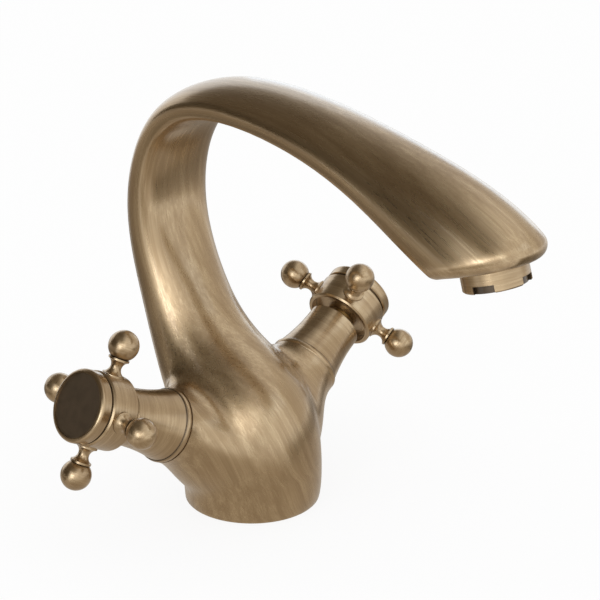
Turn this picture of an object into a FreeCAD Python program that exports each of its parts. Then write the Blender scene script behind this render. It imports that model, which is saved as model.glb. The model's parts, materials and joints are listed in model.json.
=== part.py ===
import FreeCAD, Part
import math
import os
from FreeCAD import Vector

# Two-handle swan-neck basin and bath tap with cross handles.
# Millimetres, +Z up.  The origin is the centre of the base's underside.
# The spout points to -Y, the hot handle is on the -X side and the cold one on +X.
# A "side" is -1 for hot and +1 for cold.

# ---- casting: neck and spout ------------------------------------------------------
BASE_RADIUS = 25.5
BASE_EDGE_ROUND = 0.8
# Stations up the neck and along the spout: y, z of the centreline, then half-width,
# crown (outer side) and belly (inner side) of the section square to the centreline.
NECK_STATIONS = [
    (0.0, 0.0, BASE_RADIUS, BASE_RADIUS, BASE_RADIUS),
    (0.0, 12.0, 26.2, 26.0, 26.8),
    (3.5, 28.5, 26.5, 23.5, 27.5),
    (20.9, 50.6, 21.7, 18.7, 19.5),
    (35.1, 76.1, 18.3, 13.6, 13.2),
    (43.9, 110.3, 17.8, 9.3, 8.2),
    (29.6, 146.9, 18.0, 7.1, 6.0),
    (-18.9, 155.5, 18.1, 7.4, 6.0),
    (-67.1, 142.3, 19.0, 14.3, 6.5),
    (-113.1, 119.8, 20.3, 21.3, 7.0),
    (-131.0, 111.6, 20.3, 21.3, 7.0),
]
NOSE_ROUND_DEGREES = (20.0, 40.0, 60.0)   # rows that close the nose like a quarter circle
ROUND_FULLNESS = 0.5523                   # handle length that makes a quarter ellipse
BELLY_SQUARING = 2.0                      # how much a thin section flattens its belly
BELLY_SQUARING_FROM = 0.42                # thinness, 1 - belly / half-width, where it starts
BELLY_SQUARING_FULL = 0.66
CORE_WALL = 3.2                           # metal left round the hollow neck
CORE_START_HEIGHT = 36.0
CORE_END_BEFORE_NOSE = 14.0               # along the centreline, from the last full station

# ---- casting: outlet --------------------------------------------------------------
OUTLET_Y = -114.4
OUTLET_Z = 115.6
OUTLET_LEAN = 16.5                        # degrees forward of straight down
SKIRT_HEIGHT = 7.2                        # aerator that shows below the bill
BILL_EDGE_ROUND = 4.5
AERATOR_THREAD_RADIUS = 11.7
AERATOR_THREAD_LENGTH = 5.0
OUTLET_WATERWAY_RADIUS = 8.8
OUTLET_WATERWAY_TOP = 17.0

# ---- casting: valve branches ------------------------------------------------------
VALVE_TILT = 26.67                        # degrees above level
VALVE_SWEEP = 6.26                        # degrees towards the back
VALVE_MEET_Y = 4.0                        # where the two valve axes meet
VALVE_MEET_Z = 20.0
PORT_DISTANCE = 41.55                     # from that point to the port face
BRANCH_RADIUS = 13.9
# Sections of a branch below its port face: depth, then front, rear, top and bottom
# radius.  The underside and the front flare out to the base.
BRANCH_STATIONS = [
    (30.0, 25.0, 17.5, 17.0, 24.2),
    (25.0, 23.6, 16.8, 16.3, 22.6),
    (16.0, 19.6, 15.2, 15.0, 19.0),
    (7.0, 15.2, 14.2, 14.1, 15.0),
    (0.0, BRANCH_RADIUS, BRANCH_RADIUS, BRANCH_RADIUS, BRANCH_RADIUS),
]
BRANCH_BLEND = 9.0
CHAMBER_DEPTH = 24.0
CHAMBER_RADIUS = 9.2
PORT_STEP = 1.0
PORT_THREAD_RADIUS = CHAMBER_RADIUS + PORT_STEP
PORT_THREAD_DEPTH = 10.0

# ---- casting: underside -----------------------------------------------------------
INLET_OFFSET_X = 9.0
INLET_THREAD_RADIUS = 4.5
INLET_THREAD_DEPTH = 14.0
INLET_FEED_RADIUS = 3.2
STUD_OFFSET_Y = -12.0
STUD_THREAD_RADIUS = 3.4
STUD_THREAD_DEPTH = 16.0
SEAL_MARGIN = 2.0                         # metal left outside the seal
SEAL_WIDTH = 3.0
SEAL_DEPTH = 2.5
SEAL_OUTER_RADIUS = BASE_RADIUS - SEAL_MARGIN
SEAL_INNER_RADIUS = SEAL_OUTER_RADIUS - SEAL_WIDTH

# ---- trim ring and bonnet ---------------------------------------------------------
RING_RADIUS = BRANCH_RADIUS + 0.05
RING_EDGE_RADIUS = RING_RADIUS - 0.5
RING_THICKNESS = 2.5
BONNET_LENGTH = 21.5
BONNET_BASE_RADIUS = 13.3
BONNET_MID_RADIUS = 11.4
BONNET_TOP_RADIUS = 10.7
BONNET_WALL = 1.7
BONNET_EDGE_ROUND = 0.5
BONNET_GRIP_LENGTH = 5.0

# ---- cartridge --------------------------------------------------------------------
HOUSING_FLANGE_STEP = 0.9
HOUSING_FLANGE_RADIUS = PORT_THREAD_RADIUS + HOUSING_FLANGE_STEP
HOUSING_FLANGE_HEIGHT = 1.5
HOUSING_HEX_ACROSS_FLATS = 17.0
HOUSING_HEX_HEIGHT = 5.0
HOUSING_NECK_RADIUS = 7.4
HOUSING_CLEARANCE = 0.2
HOUSING_BODY_RADIUS = CHAMBER_RADIUS - HOUSING_CLEARANCE
HOUSING_FOOT_GAP = 1.5                    # housing's lower end above the chamber floor
DISC_RADIUS = 7.5
DISC_THICKNESS = 2.6
DISC_PORT_RADIUS = 1.9
DISC_PORT_OFFSET = 4.3
SEAT_SEAL_HEIGHT = 2.5
SEAT_SEAL_WIDTH = 1.9
WINDOW_WIDTH = 6.0
WINDOW_HEIGHT = 4.2
STEM_RADIUS = 4.0
STEM_CLEARANCE = 0.08
DRIVE_FLANGE_RADIUS = 6.8
DRIVE_FLANGE_THICKNESS = 2.6
DRIVE_FLANGE_HALF_WIDTH = 2.2
TONGUE_WIDTH = 3.0
TONGUE_DEPTH = 1.2
RUNNING_GAP = 0.1
O_RING_SECTION = 1.6
SPINDLE_O_RING_HEIGHT = 9.0               # above the port face
HOUSING_O_RING_DEPTH = 11.0               # below the port face
CLIP_THICKNESS = 0.8
CLIP_RADIUS = 5.6
CLIP_SEAT_RADIUS = 3.4
CLIP_OPENING = 4.0

# ---- handle -----------------------------------------------------------------------
HUB_GAP = 2.9                             # from the bonnet's top to the hub's back edge
HUB_RADIUS = 13.8
HUB_LENGTH = 11.9
HUB_EDGE = 0.6
HUB_WALL = 1.6
HUB_RECESS_RADIUS = HUB_RADIUS - HUB_WALL
HUB_RECESS_DEPTH = 3.3
HUB_BOSS_RADIUS = 6.2
HUB_BOSS_STEP = 0.8
HUB_WEB = 5.5
HUB_FRONT_BORE = 9.2
SPLINE_TEETH = 20
SPLINE_OUTER_RADIUS = 3.9
SPLINE_ROOT_RADIUS = 3.5
SCREW_SHELF = 1.0
SCREW_RADIUS = 2.0
SCREW_LENGTH = 11.0
SCREW_HEAD_RADIUS = 3.5
SCREW_HEAD_HEIGHT = 2.2
SCREW_SOCKET_ACROSS_FLATS = 2.5
SCREW_SOCKET_DEPTH = 1.3
CAP_GROOVE_WIDTH = 0.8
CAP_RADIUS = HUB_RADIUS - 0.3
CAP_GROOVE_RADIUS = CAP_RADIUS - 1.0
CAP_HEIGHT = 4.6
CAP_EDGE_ROUND = 1.4
CAP_BACK_ROUND = 0.4
CAP_SPIGOT_WALL = 2.6
CAP_SPIGOT_LENGTH = 2.8
CAP_RIM = 1.7
DISC_SEAT_RADIUS = CAP_RADIUS - CAP_RIM
DISC_SEAT_DEPTH = 1.4
INDEX_DISC_THICKNESS = 1.0
INDEX_DISC_GAP = 0.06

# ---- ball arms --------------------------------------------------------------------
ARM_COUNT = 4
ARM_HEIGHT = 6.3                          # arm axes above the hub's back edge
ARM_PHASE = {-1: -1.1, 1: 31.4}           # degrees from straight up to the first arm
BALL_RADIUS = 5.65
BALL_REACH = 24.8                         # hub axis to ball centre
ARM_SEAT = 13.1                           # hub axis to the arm's spot-faced seat
ARM_STUD_RADIUS = 2.0
ARM_STUD_LENGTH = 3.6
ARM_FLANGE_RADIUS = 4.1
ARM_FLANGE_HEIGHT = 0.9
ARM_WAIST_RADIUS = 2.05
ARM_COLLAR_RADIUS = 3.9
ARM_COLLAR_HEIGHT = 0.7
COLLAR_TO_BALL_CENTRE = 4.7
SPOT_FACE_CLEARANCE = 0.05

# ---- aerator ----------------------------------------------------------------------
SKIRT_RADIUS = AERATOR_THREAD_RADIUS + 0.2
SKIRT_EDGE = 0.5
SKIRT_WALL = 1.7
SKIRT_LIP = 0.8
SKIRT_BORE = AERATOR_THREAD_RADIUS - SKIRT_WALL
SKIRT_LIP_BORE = SKIRT_BORE - SKIRT_LIP
SKIRT_LIP_HEIGHT = 1.5
NOTCH_WIDTH = 7.8
NOTCH_HEIGHT = 2.8
NOTCH_TURN = 16.0                         # degrees, where the aerator came to rest
INSERT_CLEARANCE = 0.05
INSERT_HEIGHT = 6.6
INSERT_WALL = 1.0
INSERT_PLATE = 1.2
INSERT_HOLE_RADIUS = 0.9
INSERT_HOLE_PITCH = 3.0
INSERT_RINGS = 2
WASHER_WIDTH = 2.7
WASHER_BORE = AERATOR_THREAD_RADIUS - WASHER_WIDTH
WASHER_THICKNESS = 1.5

# ---- heights along a valve axis, measured outwards from the port face ---------------
RING_TOP = RING_THICKNESS
BONNET_TOP = RING_TOP + BONNET_LENGTH
NECK_TOP = BONNET_TOP - RUNNING_GAP
HUB_BACK = BONNET_TOP + HUB_GAP
HUB_WEB_BACK = HUB_BACK + HUB_RECESS_DEPTH
HUB_WEB_FRONT = HUB_WEB_BACK + HUB_WEB
HUB_FRONT = HUB_BACK + HUB_LENGTH
ARM_LEVEL = HUB_BACK + ARM_HEIGHT
CAP_BACK = HUB_FRONT + CAP_GROOVE_WIDTH
CAP_FRONT = CAP_BACK + CAP_HEIGHT
SPINDLE_TOP = HUB_WEB_FRONT - SCREW_SHELF
HOUSING_FOOT = HOUSING_FOOT_GAP - CHAMBER_DEPTH
FIXED_DISC_FOOT = SEAT_SEAL_HEIGHT - CHAMBER_DEPTH
DISC_PLANE = FIXED_DISC_FOOT + DISC_THICKNESS
DRIVE_FOOT = DISC_PLANE + DISC_THICKNESS
CAVITY_TOP = DRIVE_FOOT + DRIVE_FLANGE_THICKNESS + RUNNING_GAP
WASHER_SEAT = SKIRT_HEIGHT + AERATOR_THREAD_LENGTH

UP = Vector(0, 0, 1)
ACROSS = Vector(1, 0, 0)
TOUCHING = 0.001


# ---- shared helpers -----------------------------------------------------------------
def lathe(start, *steps):
    """Turn a closed outline about Z.  Points are (radius, height); a pair of points
    is an arc through the first to the second."""
    edges = []
    here = start
    for step in steps + (start,):
        if isinstance(step[0], tuple):
            middle, end = step
            arc = Part.Arc(*[Vector(r, 0, z) for r, z in (here, middle, end)])
            edges.append(arc.toShape())
        else:
            end = step
            edges.append(Part.makeLine(Vector(here[0], 0, here[1]), Vector(end[0], 0, end[1])))
        here = end
    face = Part.Face(Part.Wire(edges))
    return face.revolve(Vector(0, 0, 0), UP, 360)


def rod(radius, low, high, x=0.0, y=0.0):
    """Upright cylinder between two heights."""
    return Part.makeCylinder(radius, high - low, Vector(x, y, low))


def drill(radius, start, end):
    """Cylinder between two points."""
    return Part.makeCylinder(radius, (end - start).Length, start, end - start)


def block(size_x, size_y, low, high, x=0.0, y=0.0):
    """Upright box centred on x, y between two heights."""
    corner = Vector(x - size_x / 2, y - size_y / 2, low)
    return Part.makeBox(size_x, size_y, high - low, corner)


def prism(points, low, high):
    """Upright prism on a closed outline of (x, y) points."""
    corners = [Vector(x, y, low) for x, y in points]
    face = Part.Face(Part.makePolygon(corners + corners[:1]))
    return face.extrude(Vector(0, 0, high - low))


def hexagon(across_flats):
    radius = across_flats / math.sqrt(3)
    angles = [math.radians(60 * i) for i in range(6)]
    return [(radius * math.cos(a), radius * math.sin(a)) for a in angles]


def spline_outline():
    """Straight-sided teeth of the broached drive between spindle and hub."""
    points = []
    for i in range(2 * SPLINE_TEETH):
        radius = SPLINE_ROOT_RADIUS if i % 2 else SPLINE_OUTER_RADIUS
        angle = math.pi * i / SPLINE_TEETH
        points.append((radius * math.cos(angle), radius * math.sin(angle)))
    return points


def o_ring(inner, outer, low):
    """Squeezed round-section ring, with its section drawn as an octagon."""
    section = outer - inner
    cut = section * 0.3
    high = low + O_RING_SECTION
    return lathe(
        (inner + cut, low), (outer - cut, low), (outer, low + cut), (outer, high - cut),
        (outer - cut, high), (inner + cut, high), (inner, high - cut), (inner, low + cut),
    )


def valve_axis(side):
    tilt = math.radians(VALVE_TILT)
    sweep = math.radians(VALVE_SWEEP)
    return Vector(side * math.cos(tilt) * math.cos(sweep), math.cos(tilt) * math.sin(sweep), math.sin(tilt))


def frame_at(origin, z_axis, x_hint):
    """Placement whose local Z is z_axis and whose local X is as near x_hint as it can be."""
    x_axis = (x_hint - z_axis * z_axis.dot(x_hint)).normalize()
    y_axis = z_axis.cross(x_axis)
    matrix = FreeCAD.Matrix(
        x_axis.x, y_axis.x, z_axis.x, origin.x,
        x_axis.y, y_axis.y, z_axis.y, origin.y,
        x_axis.z, y_axis.z, z_axis.z, origin.z,
        0, 0, 0, 1,
    )
    return FreeCAD.Placement(matrix)


def valve_frame(side):
    """Local Z runs out along the valve axis from the port face; local X points upwards."""
    axis = valve_axis(side)
    port = Vector(0, VALVE_MEET_Y, VALVE_MEET_Z) + axis * PORT_DISTANCE
    return frame_at(port, axis, UP)


def outlet_frame():
    """Local Z runs up into the bill from the centre of the outlet's mouth."""
    lean = math.radians(OUTLET_LEAN)
    return frame_at(Vector(0, OUTLET_Y, OUTLET_Z), Vector(0, math.sin(lean), math.cos(lean)), ACROSS)


def placed(shape, frame):
    moved = shape.copy()
    moved.Placement = frame.multiply(moved.Placement)
    return moved


# ---- casting ------------------------------------------------------------------------
def station_parameters():
    """Distance of each station along the chain of straight lines between them."""
    distances = [0.0]
    for near, far in zip(NECK_STATIONS, NECK_STATIONS[1:]):
        distances.append(distances[-1] + math.hypot(far[0] - near[0], far[1] - near[1]))
    return distances


def centreline():
    points = [Vector(0, station[0], station[1]) for station in NECK_STATIONS]
    path = Part.BSplineCurve()
    path.interpolate(
        Points=points, Parameters=station_parameters(), Scale=False,
        InitialTangent=UP, FinalTangent=(points[-1] - points[-2]).normalize(),
    )
    return path


def eased(values, along):
    """Monotone cubic through one value per station, so that a size never overshoots."""
    places = station_parameters()
    slopes = [(b - a) / (q - p) for a, b, p, q in zip(values, values[1:], places, places[1:])]
    tangents = [slopes[0]]
    for before, after in zip(slopes, slopes[1:]):
        tangents.append(2 * before * after / (before + after) if before * after > 0 else 0.0)
    tangents.append(slopes[-1])
    span = max([i for i in range(len(slopes)) if places[i] <= along])
    width = places[span + 1] - places[span]
    u = (along - places[span]) / width
    start = values[span] * (1 + 2 * u) + width * tangents[span] * u
    end = values[span + 1] * (3 - 2 * u) - width * tangents[span + 1] * (1 - u)
    return start * (1 - u) ** 2 + end * u ** 2


def quarter_curves(right, top, left, bottom, fullness_above, fullness_below):
    """Closed section as four flat quarter curves of four control points (across, up)."""
    curves = []
    for start, end, fullness in (
        ((right, 0), (0, top), fullness_above),
        ((0, top), (-left, 0), fullness_above),
        ((-left, 0), (0, -bottom), fullness_below),
        ((0, -bottom), (right, 0), fullness_below),
    ):
        corner = (start[0] + end[0], start[1] + end[1])
        pull_start = [s + (k - s) * fullness for s, k in zip(start, corner)]
        pull_end = [e + (k - e) * fullness for e, k in zip(end, corner)]
        curves.append((start, pull_start, pull_end, end))
    return curves


def section_poles(path, along, shrink, wall):
    """Section of the neck square to its centreline, in space."""
    centre = path.value(along)
    tangent = path.getDN(along, 1).normalize()
    outwards = Vector(0, tangent.z, -tangent.y)
    width, crown, belly = [eased([s[i] for s in NECK_STATIONS], along) for i in (2, 3, 4)]
    thinness = 1 - belly / width
    squaring = (thinness - BELLY_SQUARING_FROM) / (BELLY_SQUARING_FULL - BELLY_SQUARING_FROM)
    exponent = 2 + BELLY_SQUARING * min(1.0, max(0.0, squaring))
    belly_fullness = (8 * 2 ** (-1 / exponent) - 4) / 3
    w = width * shrink - wall
    c = crown * shrink - wall
    b = belly * shrink - wall
    curves = quarter_curves(w, c, w, b, ROUND_FULLNESS, belly_fullness)
    return [[centre + ACROSS * x + outwards * h for x, h in curve] for curve in curves]


def skinned(sections, places):
    """Solid through the sections, as four smooth strips and two flat ends."""
    faces = []
    for quarter in range(4):
        columns = []
        for pole in range(4):
            curve = Part.BSplineCurve()
            points = [section[quarter][pole] for section in sections]
            curve.interpolate(Points=points, Parameters=places)
            columns.append(curve)
        strip = Part.BSplineSurface()
        strip.buildFromPolesMultsKnots(
            [column.getPoles() for column in columns], [4, 4], columns[0].getMultiplicities(),
            [0, 1], columns[0].getKnots(), False, False, 3, 3,
        )
        faces.append(strip.toShape())
    for section in (sections[0], sections[-1]):
        edges = []
        for poles in section:
            curve = Part.BezierCurve()
            curve.setPoles(poles)
            edges.append(curve.toShape())
        faces.append(Part.Face(Part.Wire(edges)))
    shell = Part.Shell(faces)
    shell.sewShape()
    solid = Part.Solid(shell)
    if solid.Volume < 0:
        solid.reverse()
    return solid


def neck_solid():
    """Outside of the neck and spout, closed by a rounded nose."""
    path = centreline()
    places = station_parameters()
    last = places[-2]
    rows = [(place, 1.0) for place in places[:-1]]
    for degrees in NOSE_ROUND_DEGREES:
        angle = math.radians(degrees)
        rows.append((last + (places[-1] - last) * math.sin(angle), math.cos(angle)))
    sections = [section_poles(path, along, shrink, 0.0) for along, shrink in rows]
    return skinned(sections, [along for along, shrink in rows])


def core_solid():
    """Hollow of the neck: the same sections, one wall inside."""
    path = centreline()
    places = station_parameters()
    start = path.parameter(Vector(0, 0, CORE_START_HEIGHT))
    end = places[-2] - CORE_END_BEFORE_NOSE
    rows = [start] + [p for p in places if start + CORE_WALL < p < end - CORE_WALL] + [end]
    return skinned([section_poles(path, along, 1.0, CORE_WALL) for along in rows], rows)


def branch_solid(side):
    """Stub that carries one valve; it flares towards the base."""
    sections = []
    for depth, front, rear, top, bottom in BRANCH_STATIONS:
        right, left = (front, rear) if side > 0 else (rear, front)
        curves = quarter_curves(right, top, left, bottom, ROUND_FULLNESS, ROUND_FULLNESS)
        sections.append([[Vector(h, x, -depth) for x, h in curve] for curve in curves])
    return placed(skinned(sections, [-station[0] for station in BRANCH_STATIONS]), valve_frame(side))


def junction_edges(shape, neck, branches):
    """Edges of the joined shape that lie on both the neck and a branch."""
    found = []
    for edge in shape.Edges:
        first, last = edge.ParameterRange
        middle = Part.Vertex(edge.valueAt((first + last) / 2))
        gap_to_neck = middle.distToShape(neck.Shells[0])[0]
        gap_to_branch = min([middle.distToShape(branch.Shells[0])[0] for branch in branches])
        if max(gap_to_neck, gap_to_branch) < TOUCHING:
            found.append(edge)
    return found


def edges_of_plane(shape, point, normal):
    """Outline of the flat face that lies in a given plane."""
    found = []
    for face in shape.Faces:
        surface = face.Surface
        if surface.TypeId != "Part::GeomPlane" or abs(surface.Axis.dot(normal)) < 0.9999:
            continue
        if abs((face.CenterOfMass - point).dot(normal)) < TOUCHING:
            found.extend(face.OuterWire.Edges)
    return found


def casting_outside():
    neck = neck_solid()
    branches = [branch_solid(-1), branch_solid(1)]
    outside = neck.fuse(branches)
    frame = outlet_frame()
    up = frame.Rotation.multVec(UP)
    plane_point = frame.multVec(UP * SKIRT_HEIGHT)
    below_bill = block(4 * BASE_RADIUS, 3 * BASE_RADIUS, SKIRT_HEIGHT - 60, SKIRT_HEIGHT)
    outside = outside.cut(placed(below_bill, frame))
    outside = outside.makeFillet(BRANCH_BLEND, junction_edges(outside, neck, branches))
    outside = outside.makeFillet(BILL_EDGE_ROUND, edges_of_plane(outside, plane_point, up))
    return outside.makeFillet(BASE_EDGE_ROUND, edges_of_plane(outside, Vector(0, 0, 0), UP))


def valve_bore(side):
    """Threaded port, chamber and the feed that reaches it from below."""
    frame = valve_frame(side)
    bore = rod(PORT_THREAD_RADIUS, -PORT_THREAD_DEPTH, 1)
    bore = placed(bore.fuse(rod(CHAMBER_RADIUS, -CHAMBER_DEPTH, 0)), frame)
    seat = frame.multVec(UP * -CHAMBER_DEPTH)
    inlet = Vector(side * INLET_OFFSET_X, seat.y, 0)
    thread_end = inlet + UP * INLET_THREAD_DEPTH
    bore = bore.fuse(drill(INLET_THREAD_RADIUS, inlet - UP, thread_end))
    return bore.fuse(drill(INLET_FEED_RADIUS, thread_end - UP, seat + valve_axis(side)))


def outlet_bore():
    thread = rod(AERATOR_THREAD_RADIUS, SKIRT_HEIGHT - 1, WASHER_SEAT + WASHER_THICKNESS)
    waterway = rod(OUTLET_WATERWAY_RADIUS, SKIRT_HEIGHT, OUTLET_WATERWAY_TOP)
    return placed(thread.fuse(waterway), outlet_frame())


def seal_groove():
    return rod(SEAL_OUTER_RADIUS, -1, SEAL_DEPTH).cut(rod(SEAL_INNER_RADIUS, -1, SEAL_DEPTH))


def body_casting():
    casting = casting_outside().cut(core_solid())
    casting = casting.cut(outlet_bore())
    for side in (-1, 1):
        casting = casting.cut(valve_bore(side))
    stud_hole = rod(STUD_THREAD_RADIUS, -1, STUD_THREAD_DEPTH, y=STUD_OFFSET_Y)
    return casting.cut(stud_hole).cut(seal_groove())


def base_seal():
    return rod(SEAL_OUTER_RADIUS, 0, SEAL_DEPTH).cut(rod(SEAL_INNER_RADIUS, 0, SEAL_DEPTH))


# ---- valve: ring, bonnet and cartridge ------------------------------------------------
def trim_ring():
    return lathe(
        (HOUSING_FLANGE_RADIUS, 0), (RING_EDGE_RADIUS, 0),
        ((RING_RADIUS, RING_TOP / 2), (RING_EDGE_RADIUS, RING_TOP)),
        (HOUSING_FLANGE_RADIUS, RING_TOP),
    )


def bonnet():
    """Waisted cover that screws onto the cartridge's neck."""
    grip = BONNET_TOP - BONNET_GRIP_LENGTH
    middle = (RING_TOP + BONNET_TOP) / 2 - BONNET_LENGTH * 0.06
    return lathe(
        (BONNET_BASE_RADIUS - BONNET_WALL, RING_TOP), (BONNET_BASE_RADIUS, RING_TOP),
        ((BONNET_MID_RADIUS, middle), (BONNET_TOP_RADIUS, BONNET_TOP - BONNET_EDGE_ROUND)),
        (BONNET_TOP_RADIUS - BONNET_EDGE_ROUND, BONNET_TOP),
        (HOUSING_NECK_RADIUS, BONNET_TOP), (HOUSING_NECK_RADIUS, grip),
        (BONNET_TOP_RADIUS - BONNET_WALL, grip),
        (BONNET_MID_RADIUS - BONNET_WALL, middle),
    )


def cartridge_housing():
    hex_top = HOUSING_FLANGE_HEIGHT + HOUSING_HEX_HEIGHT
    groove = -HOUSING_O_RING_DEPTH - O_RING_SECTION
    groove_radius = CHAMBER_RADIUS - O_RING_SECTION * 0.75
    housing = lathe(
        (STEM_RADIUS + STEM_CLEARANCE, CAVITY_TOP), (DISC_RADIUS, CAVITY_TOP),
        (DISC_RADIUS, HOUSING_FOOT), (HOUSING_BODY_RADIUS, HOUSING_FOOT),
        (HOUSING_BODY_RADIUS, groove), (groove_radius, groove),
        (groove_radius, -HOUSING_O_RING_DEPTH), (HOUSING_BODY_RADIUS, -HOUSING_O_RING_DEPTH),
        (HOUSING_BODY_RADIUS, -PORT_THREAD_DEPTH), (PORT_THREAD_RADIUS, -PORT_THREAD_DEPTH),
        (PORT_THREAD_RADIUS, 0), (HOUSING_FLANGE_RADIUS, 0),
        (HOUSING_FLANGE_RADIUS, HOUSING_FLANGE_HEIGHT),
        (HOUSING_NECK_RADIUS, HOUSING_FLANGE_HEIGHT), (HOUSING_NECK_RADIUS, NECK_TOP),
        (STEM_RADIUS + STEM_CLEARANCE, NECK_TOP),
    )
    nut = prism(hexagon(HOUSING_HEX_ACROSS_FLATS), HOUSING_FLANGE_HEIGHT, hex_top)
    nut = nut.cut(rod(HOUSING_NECK_RADIUS - 1, HOUSING_FLANGE_HEIGHT - 1, hex_top + 1))
    windows = block(WINDOW_WIDTH, 4 * HOUSING_BODY_RADIUS, CAVITY_TOP - WINDOW_HEIGHT, CAVITY_TOP)
    return housing.fuse(nut).cut(windows)


def disc_ports(angle):
    """Two through ports of a ceramic disc, on a line at an angle."""
    ports = []
    for turn in (0, 180):
        a = math.radians(angle + turn)
        x = DISC_PORT_OFFSET * math.cos(a)
        y = DISC_PORT_OFFSET * math.sin(a)
        ports.append(rod(DISC_PORT_RADIUS, -CHAMBER_DEPTH, 0, x, y))
    return ports


def fixed_ceramic_disc():
    return rod(DISC_RADIUS, FIXED_DISC_FOOT, DISC_PLANE).cut(disc_ports(0))


def moving_ceramic_disc():
    """Its ports stand a quarter turn from the fixed ones while the tap is shut."""
    disc = rod(DISC_RADIUS - RUNNING_GAP, DISC_PLANE, DRIVE_FOOT).cut(disc_ports(90))
    return disc.cut(block(3 * DISC_RADIUS, TONGUE_WIDTH, DRIVE_FOOT - TONGUE_DEPTH, DRIVE_FOOT + 1))


def seat_seal():
    bore = DISC_RADIUS - SEAT_SEAL_WIDTH
    return lathe(
        (bore, -CHAMBER_DEPTH), (DISC_RADIUS, -CHAMBER_DEPTH),
        (DISC_RADIUS, FIXED_DISC_FOOT), (bore, FIXED_DISC_FOOT),
    )


def housing_o_ring():
    inner = CHAMBER_RADIUS - O_RING_SECTION * 0.75
    return o_ring(inner, CHAMBER_RADIUS, -HOUSING_O_RING_DEPTH - O_RING_SECTION)


def spindle():
    """Stem with a bar-shaped drive foot, two grooves and a splined end."""
    ring_floor = STEM_RADIUS - O_RING_SECTION * 0.6
    ring_top = SPINDLE_O_RING_HEIGHT + O_RING_SECTION
    clip_top = BONNET_TOP + CLIP_THICKNESS
    flange_top = DRIVE_FOOT + DRIVE_FLANGE_THICKNESS
    stem = lathe(
        (0, flange_top), (STEM_RADIUS, flange_top),
        (STEM_RADIUS, SPINDLE_O_RING_HEIGHT), (ring_floor, SPINDLE_O_RING_HEIGHT),
        (ring_floor, ring_top), (STEM_RADIUS, ring_top),
        (STEM_RADIUS, BONNET_TOP), (CLIP_SEAT_RADIUS, BONNET_TOP),
        (CLIP_SEAT_RADIUS, clip_top), (STEM_RADIUS, clip_top),
        (STEM_RADIUS, HUB_BACK + HUB_BOSS_STEP), (0, HUB_BACK + HUB_BOSS_STEP),
    )
    foot = rod(DRIVE_FLANGE_RADIUS, DRIVE_FOOT, flange_top)
    foot = foot.common(block(3 * DRIVE_FLANGE_RADIUS, 2 * DRIVE_FLANGE_HALF_WIDTH, DRIVE_FOOT, flange_top))
    tongue = rod(DRIVE_FLANGE_RADIUS, DRIVE_FOOT - TONGUE_DEPTH, DRIVE_FOOT)
    tongue = tongue.common(block(3 * DRIVE_FLANGE_RADIUS, TONGUE_WIDTH, DRIVE_FOOT - TONGUE_DEPTH, DRIVE_FOOT))
    end = prism(spline_outline(), HUB_BACK + HUB_BOSS_STEP, SPINDLE_TOP)
    hole = rod(SCREW_RADIUS, HUB_WEB_FRONT - SCREW_LENGTH, SPINDLE_TOP + 1)
    return stem.fuse([foot, tongue, end]).cut(hole)


def spindle_o_ring():
    return o_ring(STEM_RADIUS - O_RING_SECTION * 0.6, STEM_RADIUS + STEM_CLEARANCE / 2, SPINDLE_O_RING_HEIGHT)


def spindle_clip():
    """Open retaining ring that holds the spindle in the housing."""
    ring = rod(CLIP_RADIUS, BONNET_TOP, BONNET_TOP + CLIP_THICKNESS)
    ring = ring.cut(rod(CLIP_SEAT_RADIUS, BONNET_TOP, BONNET_TOP + CLIP_THICKNESS))
    return ring.cut(block(2 * CLIP_RADIUS, CLIP_OPENING, BONNET_TOP, BONNET_TOP + CLIP_THICKNESS, x=CLIP_RADIUS))


# ---- handle -------------------------------------------------------------------------
def arm_frame(side, index):
    """Local Z runs out along one arm from the hub's axis."""
    angle = math.radians(ARM_PHASE[side] + 360.0 * index / ARM_COUNT)
    outwards = Vector(math.cos(angle), math.sin(angle), 0)
    return frame_at(UP * ARM_LEVEL, outwards, UP)


def handle_hub(side):
    """Cross-handle hub: hollow back, splined web, front bore and four spot faces."""
    hub = lathe(
        (HUB_BOSS_RADIUS, HUB_BACK + HUB_BOSS_STEP), (HUB_BOSS_RADIUS, HUB_WEB_BACK),
        (HUB_RECESS_RADIUS, HUB_WEB_BACK), (HUB_RECESS_RADIUS, HUB_BACK),
        (HUB_RADIUS - HUB_EDGE, HUB_BACK), (HUB_RADIUS, HUB_BACK + HUB_EDGE),
        (HUB_RADIUS, HUB_FRONT - HUB_EDGE), (HUB_RADIUS - HUB_EDGE, HUB_FRONT),
        (HUB_FRONT_BORE, HUB_FRONT), (HUB_FRONT_BORE, HUB_WEB_FRONT),
        (0, HUB_WEB_FRONT), (0, HUB_BACK + HUB_BOSS_STEP),
    )
    cuts = [prism(spline_outline(), HUB_BACK, SPINDLE_TOP), rod(SCREW_RADIUS, HUB_BACK, HUB_FRONT)]
    for index in range(ARM_COUNT):
        frame = arm_frame(side, index)
        cuts.append(placed(rod(ARM_STUD_RADIUS, ARM_SEAT - ARM_STUD_LENGTH, HUB_RADIUS + 1), frame))
        cuts.append(placed(rod(ARM_FLANGE_RADIUS + SPOT_FACE_CLEARANCE, ARM_SEAT, HUB_RADIUS + 1), frame))
    return hub.cut(cuts)


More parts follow.
